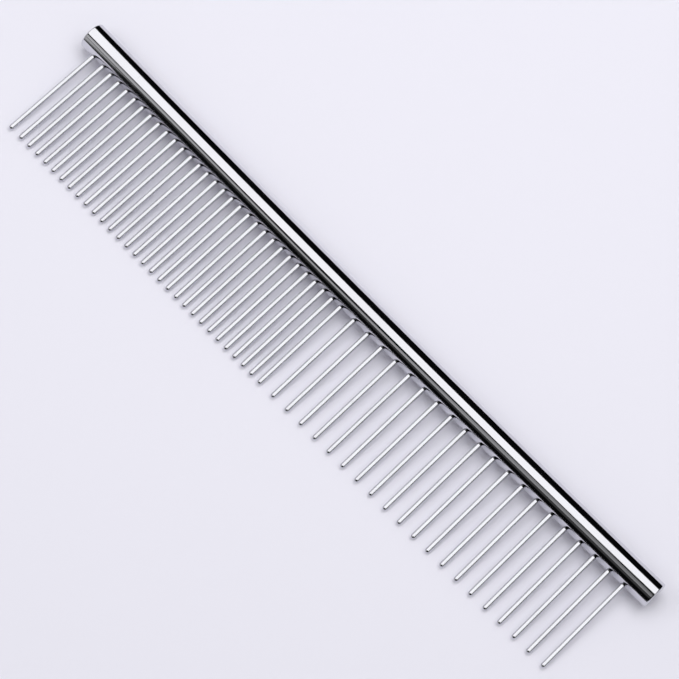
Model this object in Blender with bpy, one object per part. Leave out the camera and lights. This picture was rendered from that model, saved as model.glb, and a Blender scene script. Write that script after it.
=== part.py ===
"""Steel grooming comb: a round polished spine with two runs of round-tipped pins pressed into it.

The comb lies as it rests on a table, so the spine's lowest line and every pin's tip touch z = 0.
+X runs along the spine from the fine run to the coarse run, the pins point towards -Y, and the
origin is at the bottom centre of the comb's bounding box. Lengths are in metres.
"""

import math

import bmesh
import bpy
from mathutils import Matrix, Vector

# Spine: a solid 9/32 inch rod, cut square, with the edge of each end rounded over.
SPINE_LENGTH = 0.190
SPINE_DIAMETER = 0.00714
SPINE_EDGE_ROUND = 0.0004
# Pressing the pins into one side spreads that side, so the spine bows towards the pins.
SPINE_BOW = 0.0007

# Pins: straight round wire with a hemispherical tip, all of one length.
PIN_DIAMETER = 0.0013
PIN_REACH = 0.0303          # from the spine's axis to the tip
PIN_SEAT_DEPTH = 0.0046     # from the spine's surface down to the pin's root

# Rows, measured along the spine from its fine end.
FINE_END_MARGIN = 0.00445
END_PIN_GAP = 0.00345       # the end pin stands a little apart from the rest of the fine run
FINE_COUNT = 31
FINE_PITCH = 0.00285
RUN_GAP = 0.0045            # last fine pin to first coarse pin
COARSE_COUNT = 20
COARSE_PITCH = 0.00463

# Clearances in the blind holes: a hair round each pin, and the drill's space under its root.
SEAT_GAP = 0.00005
ROOT_GAP = 0.0003
HOLE_CUTTER_OVERRUN = 0.001

# How finely the round shapes are divided.
SPINE_SIDES = 32
SPINE_STEPS = 12            # straight stretches that make up the bowed spine
EDGE_ROUND_STEPS = 3
PIN_SIDES = 12
TIP_STEPS = 4
SHARP_EDGE_ANGLE = math.radians(40)

# Polished steel: base colour and roughness.
SPINE_COLOR = (0.78, 0.78, 0.80)
SPINE_ROUGHNESS = 0.06
FINE_PIN_COLOR = (0.74, 0.74, 0.76)
COARSE_PIN_COLOR = (0.76, 0.76, 0.78)
PIN_ROUGHNESS = 0.10

SPINE_RADIUS = SPINE_DIAMETER / 2
PIN_RADIUS = PIN_DIAMETER / 2
PIN_ROOT = SPINE_RADIUS - PIN_SEAT_DEPTH
BOW_RADIUS = SPINE_LENGTH ** 2 / (8 * SPINE_BOW)

# The comb rests on its spine and its tips, which tilts the plane of the pins down by this angle.
REST_TILT = math.asin((SPINE_RADIUS - PIN_RADIUS) / (PIN_REACH - PIN_RADIUS))
# This much +Y puts the origin midway between the spine's back and the tips.
SPINE_Y = ((PIN_REACH - SPINE_BOW) * math.cos(REST_TILT) - SPINE_RADIUS) / 2


def remove_scene_objects():
    for scene_object in list(bpy.data.objects):
        bpy.data.objects.remove(scene_object, do_unlink=True)


def polished_steel(name, color, roughness):
    material = bpy.data.materials.new(name)
    material.use_nodes = True
    shader = material.node_tree.nodes["Principled BSDF"]
    shader.inputs["Base Color"].default_value = (*color, 1.0)
    shader.inputs["Metallic"].default_value = 1.0
    shader.inputs["Roughness"].default_value = roughness
    return material


def place_on_spine(distance):
    """Frame on the bowed spine's axis, this far from its middle, with -Y pointing squarely out."""
    turn = distance / BOW_RADIUS
    on_arc = Vector((BOW_RADIUS * math.sin(turn), BOW_RADIUS * (1 - math.cos(turn)), 0))
    return Matrix.Translation(on_arc) @ Matrix.Rotation(turn, 4, "Z")


def place_for_pin(distance):
    """The same frame, turned so that +X runs along the pin from the spine's axis to the tip."""
    return place_on_spine(distance) @ Matrix.Rotation(-math.pi / 2, 4, "Z")


def turned_mesh(name, profile, sides):
    """Closed solid turned about the X axis from (x, radius) pairs, with flat ends."""
    bm = bmesh.new()
    rings = []
    for x, radius in profile:
        angles = [2 * math.pi * side / sides for side in range(sides)]
        ring = [bm.verts.new((x, radius * math.cos(a), radius * math.sin(a))) for a in angles]
        rings.append(ring)
    for ring, next_ring in zip(rings, rings[1:]):
        for side in range(sides):
            after = (side + 1) % sides
            bm.faces.new((ring[side], ring[after], next_ring[after], next_ring[side]))
    bm.faces.new(rings[0])
    bm.faces.new(rings[-1])
    bmesh.ops.recalc_face_normals(bm, faces=bm.faces)
    mesh = bpy.data.meshes.new(name)
    bm.to_mesh(mesh)
    bm.free()
    mesh.shade_smooth()
    mesh.set_sharp_from_angle(angle=SHARP_EDGE_ANGLE)
    return mesh


def quarter_round(shoulder, core, round_radius, steps):
    """(x, radius) pairs that round an edge over, from the solid's side at x = shoulder to its end."""
    angles = [math.pi / 2 * step / steps for step in range(steps + 1)]
    return [(shoulder + round_radius * math.sin(a), core + round_radius * math.cos(a)) for a in angles]


def spine_profile():
    shoulder = SPINE_LENGTH / 2 - SPINE_EDGE_ROUND
    core = SPINE_RADIUS - SPINE_EDGE_ROUND
    edge = quarter_round(shoulder, core, SPINE_EDGE_ROUND, EDGE_ROUND_STEPS)
    mirrored_edge = [(-x, radius) for x, radius in reversed(edge)]
    step_length = 2 * shoulder / SPINE_STEPS
    side = [(-shoulder + step_length * step, SPINE_RADIUS) for step in range(1, SPINE_STEPS)]
    return mirrored_edge + side + edge


def pin_profile():
    # The last ring of the dome is left out, which leaves a small flat at the very end of the tip.
    tip = quarter_round(PIN_REACH - PIN_RADIUS, 0, PIN_RADIUS, TIP_STEPS)[:-1]
    return [(PIN_ROOT, PIN_RADIUS)] + tip


def hole_profile():
    radius = PIN_RADIUS + SEAT_GAP
    return [(PIN_ROOT - ROOT_GAP, radius), (SPINE_RADIUS + HOLE_CUTTER_OVERRUN, radius)]


def pin_rows():
    """Distances of the fine pins and of the coarse pins from the middle of the spine."""
    end_pin = -SPINE_LENGTH / 2 + FINE_END_MARGIN
    second_pin = end_pin + END_PIN_GAP
    fine = [end_pin] + [second_pin + FINE_PITCH * number for number in range(FINE_COUNT - 1)]
    first_coarse = fine[-1] + RUN_GAP
    coarse = [first_coarse + COARSE_PITCH * number for number in range(COARSE_COUNT)]
    return fine, coarse


def add_object(name, mesh, rest_frame=None):
    new_object = bpy.data.objects.new(name, mesh)
    new_object.parent = rest_frame
    bpy.context.scene.collection.objects.link(new_object)
    return new_object


def build_rest_frame():
    """Empty that lays the flat comb down on its spine and tips."""
    rest_frame = add_object("rest_frame", None)
    rest_frame.location = (0, SPINE_Y, SPINE_RADIUS)
    rest_frame.rotation_euler = (REST_TILT, 0, 0)
    return rest_frame


def build_spine(rest_frame):
    mesh = turned_mesh("spine", spine_profile(), SPINE_SIDES)
    # Turned back by the tilt, one line of the faceted rod's corners is exactly its lowest at rest.
    mesh.transform(Matrix.Rotation(-REST_TILT, 4, "X"))
    for vertex in mesh.vertices:
        distance = vertex.co.x
        across = Vector((0, vertex.co.y, vertex.co.z))
        vertex.co = place_on_spine(distance) @ across
    mesh.materials.append(polished_steel("spine_steel", SPINE_COLOR, SPINE_ROUGHNESS))
    return add_object("spine", mesh, rest_frame)


def cut_pin_holes(spine, distances, rest_frame):
    """One blind hole square to the spine for each pin."""
    all_holes = bmesh.new()
    for distance in distances:
        hole = turned_mesh("pin_hole", hole_profile(), PIN_SIDES)
        hole.transform(place_for_pin(distance))
        all_holes.from_mesh(hole)
        bpy.data.meshes.remove(hole)
    cutter_mesh = bpy.data.meshes.new("pin_hole_cutter")
    all_holes.to_mesh(cutter_mesh)
    all_holes.free()
    cutter = add_object("pin_hole_cutter", cutter_mesh, rest_frame)
    cutter.hide_render = True
    cutter.display_type = "WIRE"
    holes = spine.modifiers.new("pin_holes", "BOOLEAN")
    holes.operation = "DIFFERENCE"
    holes.solver = "EXACT"
    holes.object = cutter


def build_pins(run_name, distances, color, rest_frame):
    """Separate pins that share one mesh, numbered from the fine end."""
    mesh = turned_mesh(run_name + "_pin", pin_profile(), PIN_SIDES)
    mesh.materials.append(polished_steel(run_name + "_pin_steel", color, PIN_ROUGHNESS))
    for number, distance in enumerate(distances, start=1):
        pin = add_object(f"{run_name}_pin_{number:02d}", mesh, rest_frame)
        place = place_for_pin(distance)
        pin.location = place.to_translation()
        pin.rotation_euler = place.to_euler()


def main():
    remove_scene_objects()
    rest_frame = build_rest_frame()
    fine, coarse = pin_rows()
    spine = build_spine(rest_frame)
    cut_pin_holes(spine, fine + coarse, rest_frame)
    build_pins("fine", fine, FINE_PIN_COLOR, rest_frame)
    build_pins("coarse", coarse, COARSE_PIN_COLOR, rest_frame)


main()
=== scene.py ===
"""Looks for the steel grooming comb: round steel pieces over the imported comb, on a pale studio floor.

Lengths are in metres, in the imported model's frame: +X along the spine from the fine run to the
coarse run, the pins towards -Y, and the floor at z = 0. The studio is laid out in its own axes,
turned to stand square to the camera, with +X to the picture's right and +Y to its top.
"""

import math

import bmesh
import bpy
from mathutils import Matrix, Vector

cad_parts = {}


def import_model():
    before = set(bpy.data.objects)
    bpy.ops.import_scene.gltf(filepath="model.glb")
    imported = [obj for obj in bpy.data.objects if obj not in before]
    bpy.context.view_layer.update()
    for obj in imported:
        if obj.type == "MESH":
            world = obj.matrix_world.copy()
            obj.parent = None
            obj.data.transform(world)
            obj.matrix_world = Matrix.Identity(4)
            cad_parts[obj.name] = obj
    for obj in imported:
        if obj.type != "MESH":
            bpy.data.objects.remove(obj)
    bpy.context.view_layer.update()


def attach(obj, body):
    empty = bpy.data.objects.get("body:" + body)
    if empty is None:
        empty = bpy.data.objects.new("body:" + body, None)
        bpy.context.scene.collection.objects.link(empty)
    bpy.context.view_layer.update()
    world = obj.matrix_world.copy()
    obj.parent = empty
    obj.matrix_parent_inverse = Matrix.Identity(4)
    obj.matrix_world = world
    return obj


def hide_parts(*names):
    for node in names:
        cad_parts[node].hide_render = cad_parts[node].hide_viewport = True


# The comb's driving dimensions, as in the CAD.
SPINE_LENGTH = 0.190
SPINE_DIAMETER = 0.00714
SPINE_EDGE_ROUND = 0.0004
SPINE_BOW = 0.0007
PIN_DIAMETER = 0.0013
PIN_REACH = 0.0303          # from the spine's axis to the tip
PIN_SEAT_DEPTH = 0.0046     # from the spine's surface down to the pin's root
FINE_END_MARGIN = 0.00445
END_PIN_GAP = 0.00345       # the end pin stands a little apart from the rest of the fine run
FINE_COUNT = 31
FINE_PITCH = 0.00285
RUN_GAP = 0.0045
COARSE_COUNT = 20
COARSE_PITCH = 0.00463
SEAT_GAP = 0.00005
ROOT_GAP = 0.0003

PIN_RADIUS = PIN_DIAMETER / 2
PIN_ROOT = SPINE_DIAMETER / 2 - PIN_SEAT_DEPTH
BOW_RADIUS = SPINE_LENGTH ** 2 / (8 * SPINE_BOW)
REST_TILT = math.asin((SPINE_DIAMETER / 2 - PIN_RADIUS) / (PIN_REACH - PIN_RADIUS))
SPINE_Y = ((PIN_REACH - SPINE_BOW) * math.cos(REST_TILT) - SPINE_DIAMETER / 2) / 2

# The CAD's solids are faceted. These keep the round ones inside their box.
ROD_LENGTH = 0.99999 * SPINE_LENGTH
ROD_RADIUS = 0.9999 * SPINE_DIAMETER / 2
DOME_LENGTH = 0.95 * PIN_RADIUS

# How finely the round shapes are divided.
ROD_SIDES = 128
ROD_STEPS = 48
ROD_EDGE_STEPS = 8
PIN_SIDES = 40
DOME_STEPS = 10
HOLE_SIDES = 40
STUDIO_SIDES = 96
SHARP_EDGE_ANGLE = math.radians(35)
HOLE_CUTTER_OVERRUN = 0.001

# What counts as a cut end: how squarely a face looks along X, and how far out along the edge's round.
CUT_END_FACING = 0.999
CUT_END_REACH = 0.99

# Camera, square to the studio.
CAMERA_AIM = Vector((0.0005, 0.0047, 0.0))
CAMERA_DISTANCE = 0.7053
CAMERA_AZIMUTH = math.radians(33.29)     # 0 looks along +Y
CAMERA_ELEVATION = math.radians(70.44)
CAMERA_ROLL = math.radians(13.29)
CAMERA_LENS = 159.06
CAMERA_SENSOR = 36.0
STUDIO_TURN = math.radians(45.84)

# The steel's colours, and its roughness before any marks.
SPINE_COLOR = (0.65, 0.65, 0.685)
FINE_PIN_COLOR = (0.69, 0.69, 0.73)
COARSE_PIN_COLOR = (0.70, 0.70, 0.74)
CUT_END_COLOR = (0.62, 0.62, 0.64)
SPINE_ROUGHNESS = 0.06
PIN_ROUGHNESS = 0.15
CUT_END_ROUGHNESS = 0.16

# Grain of the steel's marks along the flat comb's X, Y and Z.
SPINE_LINE_GRAIN = (0.02, 0.00025, 0.00025)
PIN_LINE_GRAIN = (0.00025, 0.008, 0.00025)
SMUDGE_GRAIN = (0.012, 0.012, 0.012)
SCRATCH_GRAIN = (0.0006, 0.0025, 0.0006)
SPECK_GRAIN = (0.0005, 0.0005, 0.0005)
CUT_END_SMUDGE_GRAIN = (0.002, 0.002, 0.002)

# Noise values at which each mark begins and is full.
SMUDGE_RANGE = (0.45, 0.72)
SCRATCH_RANGE = (0.70, 0.74)
SPECK_RANGE = (0.78, 0.82)

# What each mark adds to the roughness, and to the shade, where it is full.
LINE_ROUGHNESS = 0.02
SMUDGE_ROUGHNESS = 0.05
SCRATCH_ROUGHNESS = 0.05
LINE_SHADE = 0.04
SMUDGE_SHADE = -0.03
SCRATCH_SHADE = -0.04
SPECK_SHADE = -0.30
POLISH_DEPTH = 2e-7

# The rings left by facing on the cut ends, and the wear towards their edge.
FACING_FEED = 0.0003        # from one ring to the next
FACING_DEPTH = 1e-6
FACING_SHADE = 0.05
CUT_END_SHADE = 0.95
CUT_END_SMUDGE_ROUGHNESS = 0.10
WEAR_START = 0.75           # of the radius
WEAR_ROUGHNESS = -0.05
WEAR_SHADE = 0.05

# Studio. Levels are strengths of emission.
WHITE = (1.0, 1.0, 1.0, 1.0)
FLOOR_COLOR = (0.80, 0.79, 0.87, 1.0)
FLOOR_ROUGHNESS = 0.9
FLOOR_RADIUS = 4.0
BACKDROP_COLOR = (0.60, 0.60, 0.66, 1.0)
BACKDROP_RADIUS = 3.9
BACKDROP_HEIGHT = 4.0       # half of it is below the floor
WORLD_COLOR = (0.9, 0.9, 1.0, 1.0)
WORLD_LEVEL = 0.003
CARD_HEIGHT = 0.60
DIM_WALL_HEIGHT = CARD_HEIGHT + 0.01
LOW_CARD_TOP = 1.0
SIDE_CARD_TOP = 0.9
# Painted dark reflection: a near-black sheet just over the floor, seen only in the steel, paints the
# floor's reflection dark beyond the tips.
PAINTED_DARK_LEVEL = 0.03
PAINTED_DARK_HEIGHT = 0.0002
PAINTED_DARK_GAP = 0.040     # from the spine's axis to its near edge
PAINTED_DARK_DEPTH = 1.2
PAINTED_DARK_RIGHT = 0.12
PAINTED_DARK_FLARE = 0.42    # how much further left its far edge reaches


def place_on_spine(distance):
    """Frame on the bowed spine's axis, this far from its middle, with -Y pointing squarely out."""
    turn = distance / BOW_RADIUS
    on_arc = Vector((BOW_RADIUS * math.sin(turn), BOW_RADIUS * (1 - math.cos(turn)), 0))
    return Matrix.Translation(on_arc) @ Matrix.Rotation(turn, 4, "Z")


def rest_frame():
    """Lays the flat comb down on its spine and tips."""
    return Matrix.Translation((0, SPINE_Y, SPINE_DIAMETER / 2)) @ Matrix.Rotation(REST_TILT, 4, "X")


def pin_rows():
    """Distances of the fine pins and of the coarse pins from the middle of the spine."""
    end_pin = -SPINE_LENGTH / 2 + FINE_END_MARGIN
    second_pin = end_pin + END_PIN_GAP
    fine = [end_pin] + [second_pin + FINE_PITCH * number for number in range(FINE_COUNT - 1)]
    first_coarse = fine[-1] + RUN_GAP
    coarse = [first_coarse + COARSE_PITCH * number for number in range(COARSE_COUNT)]
    return fine, coarse


def turned_solid(profile, sides):
    """Closed bmesh turned about the X axis from (x, radius) pairs. A radius of 0 closes to a point."""
    bm = bmesh.new()
    rings = []
    for x, radius in profile:
        if radius == 0:
            rings.append([bm.verts.new((x, 0, 0))] * sides)
            continue
        angles = [2 * math.pi * side / sides for side in range(sides)]
        rings.append([bm.verts.new((x, radius * math.cos(a), radius * math.sin(a))) for a in angles])
    for ring, next_ring in zip(rings, rings[1:]):
        for side in range(sides):
            after = (side + 1) % sides
            corners = (ring[side], ring[after], next_ring[after], next_ring[side])
            bm.faces.new(list(dict.fromkeys(corners)))
    for ring in (rings[0], rings[-1]):
        if len(set(ring)) > 1:
            bm.faces.new(ring)
    bmesh.ops.recalc_face_normals(bm, faces=bm.faces)
    return bm


def plain_mesh(bm, name):
    mesh = bpy.data.meshes.new(name)
    bm.to_mesh(mesh)
    bm.free()
    return mesh


def smooth_mesh(bm, name):
    mesh = plain_mesh(bm, name)
    mesh.shade_smooth()
    mesh.set_sharp_from_angle(angle=SHARP_EDGE_ANGLE)
    return mesh


def add_object(name, data):
    new_object = bpy.data.objects.new(name, data)
    bpy.context.scene.collection.objects.link(new_object)
    return new_object


# ---------------------------------------------------------------- the comb's pieces

def rod_profile():
    shoulder = ROD_LENGTH / 2 - SPINE_EDGE_ROUND
    core = ROD_RADIUS - SPINE_EDGE_ROUND
    angles = [math.pi / 2 * step / ROD_EDGE_STEPS for step in range(ROD_EDGE_STEPS + 1)]
    edge = [
        (shoulder + SPINE_EDGE_ROUND * math.sin(a), core + SPINE_EDGE_ROUND * math.cos(a))
        for a in angles
    ]
    step_length = 2 * shoulder / ROD_STEPS
    side = [(-shoulder + step_length * step, ROD_RADIUS) for step in range(1, ROD_STEPS)]
    return [(-x, radius) for x, radius in reversed(edge)] + side + edge


def drilled_rod(distances):
    """Straight rod along X with a blind hole towards -Y at each distance, as a mesh."""
    rod = add_object("rod_blank", smooth_mesh(turned_solid(rod_profile(), ROD_SIDES), "rod_blank"))
    drill = bmesh.new()
    radius = PIN_RADIUS + SEAT_GAP
    hole = [(PIN_ROOT - ROOT_GAP, radius), (ROD_RADIUS + HOLE_CUTTER_OVERRUN, radius)]
    one_hole = smooth_mesh(turned_solid(hole, HOLE_SIDES), "hole")
    for distance in distances:
        placed = one_hole.copy()
        placed.transform(Matrix.Translation((distance, 0, 0)) @ Matrix.Rotation(-math.pi / 2, 4, "Z"))
        drill.from_mesh(placed)
    cutter = add_object("drill", smooth_mesh(drill, "drill"))
    drilling = rod.modifiers.new("drilling", "BOOLEAN")
    drilling.object = cutter
    drilling.solver = "EXACT"
    drilled = bpy.data.meshes.new_from_object(rod.evaluated_get(bpy.context.evaluated_depsgraph_get()))
    for done_with in (rod, cutter):
        bpy.data.objects.remove(done_with)
    return drilled


def rod_normal(point, face_center):
    """Exact normal of the round rod at a face's corner. Zero in a hole keeps the mesh's own normal."""
    shoulder = ROD_LENGTH / 2 - SPINE_EDGE_ROUND
    core = ROD_RADIUS - SPINE_EDGE_ROUND
    if abs(face_center.x) > shoulder + SPINE_EDGE_ROUND * CUT_END_REACH:
        return Vector((math.copysign(1, face_center.x), 0, 0))
    if Vector((0, face_center.y, face_center.z)).length <= core:
        return Vector((0, 0, 0))
    across = Vector((0, point.y, point.z))
    if abs(point.x) <= shoulder:
        return across.normalized()
    along = math.copysign(abs(point.x) - shoulder, point.x)
    return (across.normalized() * (across.length - core) + Vector((along, 0, 0))).normalized()


def build_spine(distances, materials):
    """The drilled rod, bowed towards the pins and shaded with its exact round normals."""
    mesh = drilled_rod(distances)
    mesh.name = "spine_rod"
    mesh.shade_smooth()
    mesh.set_sharp_from_angle(angle=SHARP_EDGE_ANGLE)
    mesh.materials.clear()
    for material in materials:
        mesh.materials.append(material)
    lay_down = rest_frame()
    normals = []
    for face in mesh.polygons:
        face.material_index = 1 if abs(face.normal.x) > CUT_END_FACING else 0
        for corner in face.loop_indices:
            point = mesh.vertices[mesh.loops[corner].vertex_index].co
            turn = Matrix.Rotation(point.x / BOW_RADIUS, 3, "Z")
            normals.append(lay_down.to_3x3() @ turn @ rod_normal(point, face.center))
    for vertex in mesh.vertices:
        across = Vector((0, vertex.co.y, vertex.co.z))
        vertex.co = lay_down @ place_on_spine(vertex.co.x) @ across
    mesh.update()
    mesh.normals_split_custom_set(normals)
    spine = add_object("spine_rod", mesh)
    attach(spine, "root")
    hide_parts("spine")


def pin_profile():
    dome_base = PIN_REACH - PIN_RADIUS
    angles = [math.pi / 2 * step / DOME_STEPS for step in range(DOME_STEPS)]
    dome = [(dome_base + DOME_LENGTH * math.sin(a), PIN_RADIUS * math.cos(a)) for a in angles]
    # The ring just before the dome keeps the shading of the long straight part true.
    straight = [(PIN_ROOT, PIN_RADIUS), (dome_base - PIN_RADIUS / 4, PIN_RADIUS)]
    return straight + dome + [(dome_base + DOME_LENGTH, 0)]


def build_pins(run, distances, material):
    for number, distance in enumerate(distances, start=1):
        mesh = smooth_mesh(turned_solid(pin_profile(), PIN_SIDES), f"{run}_pin_wire_{number:02d}")
        place = place_on_spine(distance) @ Matrix.Rotation(-math.pi / 2, 4, "Z")
        mesh.transform(rest_frame() @ place)
        mesh.materials.append(material)
        pin = add_object(f"{run}_pin_wire_{number:02d}", mesh)
        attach(pin, "root")
        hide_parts(f"{run}_pin_{number:02d}")


# ---------------------------------------------------------------- materials

class Nodes:
    """Short calls for building one material's or world's nodes."""

    def __init__(self, owner):
        owner.use_nodes = True
        self.tree = owner.node_tree
        self.tree.nodes.clear()

    def add(self, kind, **settings):
        node = self.tree.nodes.new(kind)
        for name, value in settings.items():
            setattr(node, name, value)
        return node

    def put(self, socket, value):
        """Links the socket to another one, or sets its value."""
        if isinstance(value, bpy.types.NodeSocket):
            self.tree.links.new(value, socket)
        else:
            socket.default_value = value

    def feed(self, node, **inputs):
        """Puts values in sockets by name, with _ for a space."""
        for name, value in inputs.items():
            self.put(node.inputs[name.replace("_", " ")], value)
        return node

    def math(self, operation, *values):
        node = self.add("ShaderNodeMath", operation=operation)
        for socket, value in zip(node.inputs, values):
            self.put(socket, value)
        return node.outputs["Value"]

    def vector_math(self, operation, *values):
        node = self.add("ShaderNodeVectorMath", operation=operation)
        for socket, value in zip(node.inputs, values):
            self.put(socket, value)
        return node.outputs

    def marked(self, base, *marks):
        """The base value plus, for each (mark, amount), that amount where the mark is full."""
        for mark, amount in marks:
            base = self.math("MULTIPLY_ADD", mark, amount, base)
        return base

    def noise(self, coordinates, stretch, detail=2.0, roughness=0.5):
        """Noise whose grain is this many metres along the flat comb's X, Y and Z."""
        mapping = self.add("ShaderNodeMapping", vector_type="TEXTURE")
        self.feed(mapping, Vector=coordinates, Rotation=(REST_TILT, 0, 0), Scale=stretch)
        noise = self.add("ShaderNodeTexNoise")
        self.feed(noise, Vector=mapping.outputs["Vector"], Scale=1.0, Detail=detail, Roughness=roughness)
        return noise.outputs["Fac"]

    def remap(self, value, from_low, from_high, to_low, to_high):
        node = self.add("ShaderNodeMapRange")
        self.feed(node, Value=value, From_Min=from_low, From_Max=from_high, To_Min=to_low, To_Max=to_high)
        return node.outputs["Result"]

    def glow(self, color, level):
        """Finishes a material that only gives off light."""
        emission = self.feed(self.add("ShaderNodeEmission"), Color=color, Strength=level)
        self.feed(self.add("ShaderNodeOutputMaterial"), Surface=emission.outputs["Emission"])


def new_material(name):
    material = bpy.data.materials.new(name)
    return material, Nodes(material)


def even_glow(name, color, level):
    material, nodes = new_material(name)
    nodes.glow(color, level)
    return material


def steel_shader(nodes, color, shade, rough, height, depth):
    """Finishes a metal: its colour times shade, its roughness, and relief this many metres deep."""
    tint = nodes.add("ShaderNodeVectorMath", operation="SCALE")
    nodes.feed(tint, Vector=color, Scale=shade)
    bump = nodes.feed(nodes.add("ShaderNodeBump"), Height=height, Distance=depth, Strength=1.0)
    shader = nodes.add("ShaderNodeBsdfPrincipled")
    nodes.feed(
        shader,
        Base_Color=tint.outputs["Vector"],
        Metallic=1.0,
        Roughness=rough,
        Normal=bump.outputs["Normal"],
    )
    nodes.feed(nodes.add("ShaderNodeOutputMaterial"), Surface=shader.outputs["BSDF"])


def polished_steel(name, line_grain, color, roughness):
    """Mirror-polished steel with polishing lines, smudges, scratches and specks."""
    material, nodes = new_material(name)
    place = nodes.add("ShaderNodeTexCoord").outputs["Object"]
    lines = nodes.noise(place, line_grain, detail=3.0)
    smudge = nodes.noise(place, SMUDGE_GRAIN, detail=4.0, roughness=0.6)
    smudge = nodes.remap(smudge, *SMUDGE_RANGE, 0.0, 1.0)
    scratch = nodes.remap(nodes.noise(place, SCRATCH_GRAIN), *SCRATCH_RANGE, 0.0, 1.0)
    speck = nodes.remap(nodes.noise(place, SPECK_GRAIN), *SPECK_RANGE, 0.0, 1.0)
    rough = nodes.marked(
        roughness,
        (smudge, SMUDGE_ROUGHNESS),
        (lines, LINE_ROUGHNESS),
        (scratch, SCRATCH_ROUGHNESS),
    )
    shade = nodes.marked(
        1.0,
        (smudge, SMUDGE_SHADE),
        (lines, LINE_SHADE),
        (scratch, SCRATCH_SHADE),
        (speck, SPECK_SHADE),
    )
    steel_shader(nodes, color, shade, rough, lines, POLISH_DEPTH)
    return material


def faced_steel():
    """The spine's cut ends: fine rings left by facing, worn brighter towards the edge."""
    material, nodes = new_material("spine_end_steel")
    place = nodes.add("ShaderNodeTexCoord").outputs["Object"]
    end_center = rest_frame() @ place_on_spine(ROD_LENGTH / 2).to_translation()
    offset = nodes.vector_math("SUBTRACT", place, end_center)["Vector"]
    across = nodes.vector_math("MULTIPLY", offset, (0, 1, 1))["Vector"]
    radius = nodes.vector_math("LENGTH", across)["Value"]
    rings = nodes.math("SINE", nodes.math("MULTIPLY", radius, 2 * math.pi / FACING_FEED))
    smudge = nodes.noise(place, CUT_END_SMUDGE_GRAIN, detail=4.0)
    wear = nodes.remap(radius, WEAR_START * ROD_RADIUS, ROD_RADIUS, 0.0, 1.0)
    rough = nodes.marked(CUT_END_ROUGHNESS, (smudge, CUT_END_SMUDGE_ROUGHNESS), (wear, WEAR_ROUGHNESS))
    shade = nodes.marked(CUT_END_SHADE, (rings, FACING_SHADE), (wear, WEAR_SHADE))
    steel_shader(nodes, CUT_END_COLOR, shade, rough, rings, FACING_DEPTH)
    return material


# ---------------------------------------------------------------- studio

def build_camera():
    camera_data = bpy.data.cameras.new("camera")
    camera_data.lens = CAMERA_LENS
    camera_data.sensor_width = CAMERA_SENSOR
    camera_data.clip_start = 0.01
    camera_data.clip_end = 20.0
    camera = add_object("camera", camera_data)
    level = math.cos(CAMERA_ELEVATION)
    back = Vector((
        math.sin(CAMERA_AZIMUTH) * level,
        -math.cos(CAMERA_AZIMUTH) * level,
        math.sin(CAMERA_ELEVATION),
    ))
    facing = (-back).to_track_quat("-Z", "Y").to_matrix().to_4x4()
    place = Matrix.Translation(CAMERA_AIM + back * CAMERA_DISTANCE)
    camera.matrix_world = place @ facing @ Matrix.Rotation(CAMERA_ROLL, 4, "Z")
    bpy.context.scene.camera = camera


def add_panel(name, corners, material):
    """Flat panel with these corners in the studio's axes. The camera doesn't see it."""
    mesh = bpy.data.meshes.new(name)
    mesh.from_pydata(corners, [], [range(len(corners))])
    mesh.materials.append(material)
    panel = add_object(name, mesh)
    panel.rotation_euler.z = STUDIO_TURN
    panel.visible_camera = False
    return panel


def add_card(name, corners, level, right_level=None):
    """Panel that shows only in the steel. Given a right_level, it runs evenly from level at its left."""
    material, nodes = new_material(name + "_light")
    if right_level is not None:
        place = nodes.add("ShaderNodeTexCoord").outputs["Object"]
        x = nodes.feed(nodes.add("ShaderNodeSeparateXYZ"), Vector=place).outputs["X"]
        left = min(corner[0] for corner in corners)
        right = max(corner[0] for corner in corners)
        level = nodes.remap(x, left, right, level, right_level)
    nodes.glow(WHITE, level)
    card = add_panel(name, corners, material)
    card.visible_diffuse = False
    card.visible_shadow = False


def add_lamp(name, center, side, level):
    """Level square panel that lights the floor and doesn't show in the steel."""
    x, y, z = center
    half = side / 2
    corners = [
        (x - half, y - half, z),
        (x - half, y + half, z),
        (x + half, y + half, z),
        (x + half, y - half, z),
    ]
    lamp = add_panel(name, corners, even_glow(name + "_light", WHITE, level))
    lamp.visible_glossy = False


def build_floor():
    material, nodes = new_material("floor_paper")
    # With no specular, nothing that shows only in the steel can show in the floor.
    shader = nodes.feed(
        nodes.add("ShaderNodeBsdfPrincipled"),
        Base_Color=FLOOR_COLOR,
        Roughness=FLOOR_ROUGHNESS,
        Specular_IOR_Level=0.0,
    )
    nodes.feed(nodes.add("ShaderNodeOutputMaterial"), Surface=shader.outputs["BSDF"])
    bm = bmesh.new()
    bmesh.ops.create_circle(bm, cap_ends=True, segments=STUDIO_SIDES, radius=FLOOR_RADIUS)
    mesh = plain_mesh(bm, "floor")
    mesh.materials.append(material)
    add_object("floor", mesh)


def build_backdrop():
    """Pale wall round the floor, for low views. It neither lights the comb nor shows in it."""
    bm = bmesh.new()
    bmesh.ops.create_cone(
        bm,
        segments=STUDIO_SIDES,
        radius1=BACKDROP_RADIUS,
        radius2=BACKDROP_RADIUS,
        depth=BACKDROP_HEIGHT,
    )
    mesh = plain_mesh(bm, "backdrop")
    mesh.materials.append(even_glow("backdrop_paper", BACKDROP_COLOR, 1.0))
    backdrop = add_object("backdrop", mesh)
    backdrop.visible_glossy = False
    backdrop.visible_diffuse = False
    backdrop.visible_shadow = False


def lifted(outline, height):
    return [(x, y, height) for x, y in outline]


def upright(near, far, top):
    """Corners of an upright panel that stands on the floor between two points."""
    return lifted([near, far], 0.0) + lifted([far, near], top)


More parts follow.
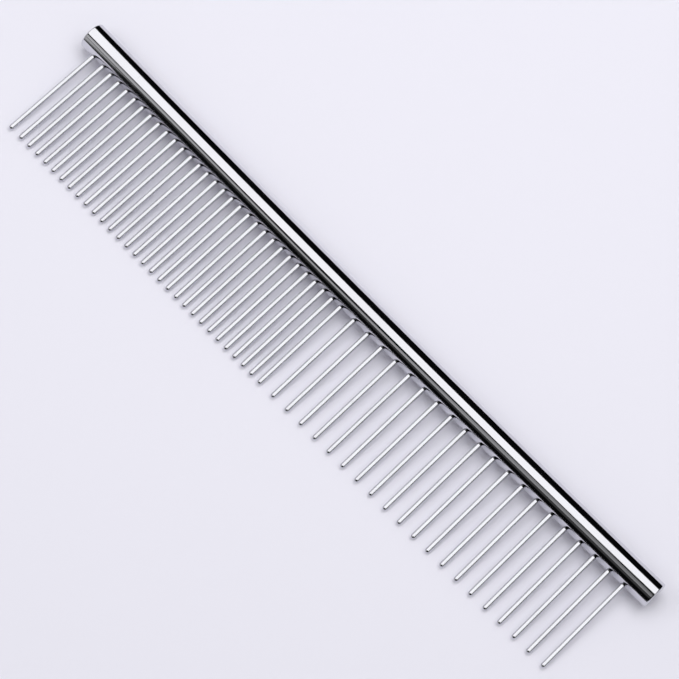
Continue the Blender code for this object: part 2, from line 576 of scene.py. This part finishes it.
def build_cards():
    """What the steel reflects: a softbox overhead, a grey wall on the pins' side, and low cards."""
    softbox = [
        (-0.432, 0.03), (-0.10, -0.12), (0.0, -0.095), (0.09, -0.11), (0.20, -0.40),
        (0.60, -0.50), (0.60, 0.30), (0.29, 0.30), (0.21, 0.33), (0.16, 0.44),
        (0.115, 0.51), (0.145, 0.60), (0.145, 1.0), (-0.60, 1.0), (-0.60, 0.06),
    ]
    grey_wall = [
        (-0.45, -0.04), (-0.43, -0.175), (-0.38, -0.19), (-0.28, -0.18), (-0.17, -0.155),
        (-0.10, -0.19), (-0.33, -0.45), (-0.40, -0.39), (-0.56, -0.43), (-0.64, -0.33),
        (-0.67, -0.22), (-0.84, -0.25), (-0.84, -0.05),
    ]
    dim_wall = [
        (-0.55, -0.20), (-0.20, -0.30), (-0.62, -0.82), (-1.10, -0.75), (-1.20, -0.40), (-0.90, -0.25),
    ]
    add_card("softbox", lifted(softbox, CARD_HEIGHT), 1.35)
    add_card("grey_wall", lifted(grey_wall, CARD_HEIGHT), 0.66, right_level=0.18)
    add_card("dim_wall", lifted(dim_wall, DIM_WALL_HEIGHT), 0.05)
    add_card("low_card", upright((-1.0, -0.36), (-1.0, 0.2), LOW_CARD_TOP), 0.5)
    # These two stand off the comb's ends, so only the pins' sides and the cut ends show them.
    add_card("left_card", upright((-0.35, 0.95), (-0.95, 0.35), SIDE_CARD_TOP), 0.50)
    add_card("right_card", upright((0.35, -0.95), (0.95, -0.35), SIDE_CARD_TOP), 0.15)


def build_painted_dark_reflection():
    """Painted dark reflection: a near-black sheet that dims the floor beyond the tips in the steel only.
    It lies along the comb's own axes.
    """
    near = SPINE_Y - PAINTED_DARK_GAP
    far = near - PAINTED_DARK_DEPTH
    left = -SPINE_LENGTH / 2
    outline = [
        (left, near), (PAINTED_DARK_RIGHT, near), (PAINTED_DARK_RIGHT, far), (left - PAINTED_DARK_FLARE, far),
    ]
    # Its faint even glow is painted shade, seen only in the steel's reflection of the floor.
    material = even_glow("painted_dark_reflection", WHITE, PAINTED_DARK_LEVEL)
    painted_sheet = add_panel("painted_dark_reflection", lifted(outline, PAINTED_DARK_HEIGHT), material)
    painted_sheet.rotation_euler.z = 0
    painted_sheet.visible_diffuse = False
    painted_sheet.visible_shadow = False


def build_lamps():
    add_lamp("key", center=(0.15, 0.15, 0.55), side=0.5, level=2.9)
    add_lamp("side_lamp", center=(-0.45, 0.05, 0.50), side=0.4, level=2.2)
    add_lamp("fill", center=(0.0, 0.0, 0.57), side=9.0, level=0.55)


def build_world():
    world = bpy.data.worlds.new("studio")
    bpy.context.scene.world = world
    nodes = Nodes(world)
    background = nodes.feed(nodes.add("ShaderNodeBackground"), Color=WORLD_COLOR, Strength=WORLD_LEVEL)
    nodes.feed(nodes.add("ShaderNodeOutputWorld"), Surface=background.outputs["Background"])


# ---------------------------------------------------------------- the scene

def main():
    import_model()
    bpy.context.scene.view_settings.view_transform = "Standard"

    fine, coarse = pin_rows()
    spine_steel = polished_steel("spine_steel", SPINE_LINE_GRAIN, SPINE_COLOR, SPINE_ROUGHNESS)
    build_spine(fine + coarse, [spine_steel, faced_steel()])
    fine_steel = polished_steel("fine_pin_steel", PIN_LINE_GRAIN, FINE_PIN_COLOR, PIN_ROUGHNESS)
    build_pins("fine", fine, fine_steel)
    coarse_steel = polished_steel("coarse_pin_steel", PIN_LINE_GRAIN, COARSE_PIN_COLOR, PIN_ROUGHNESS)
    build_pins("coarse", coarse, coarse_steel)

    build_camera()
    build_floor()
    build_backdrop()
    build_cards()
    build_painted_dark_reflection()
    build_lamps()
    build_world()


main()
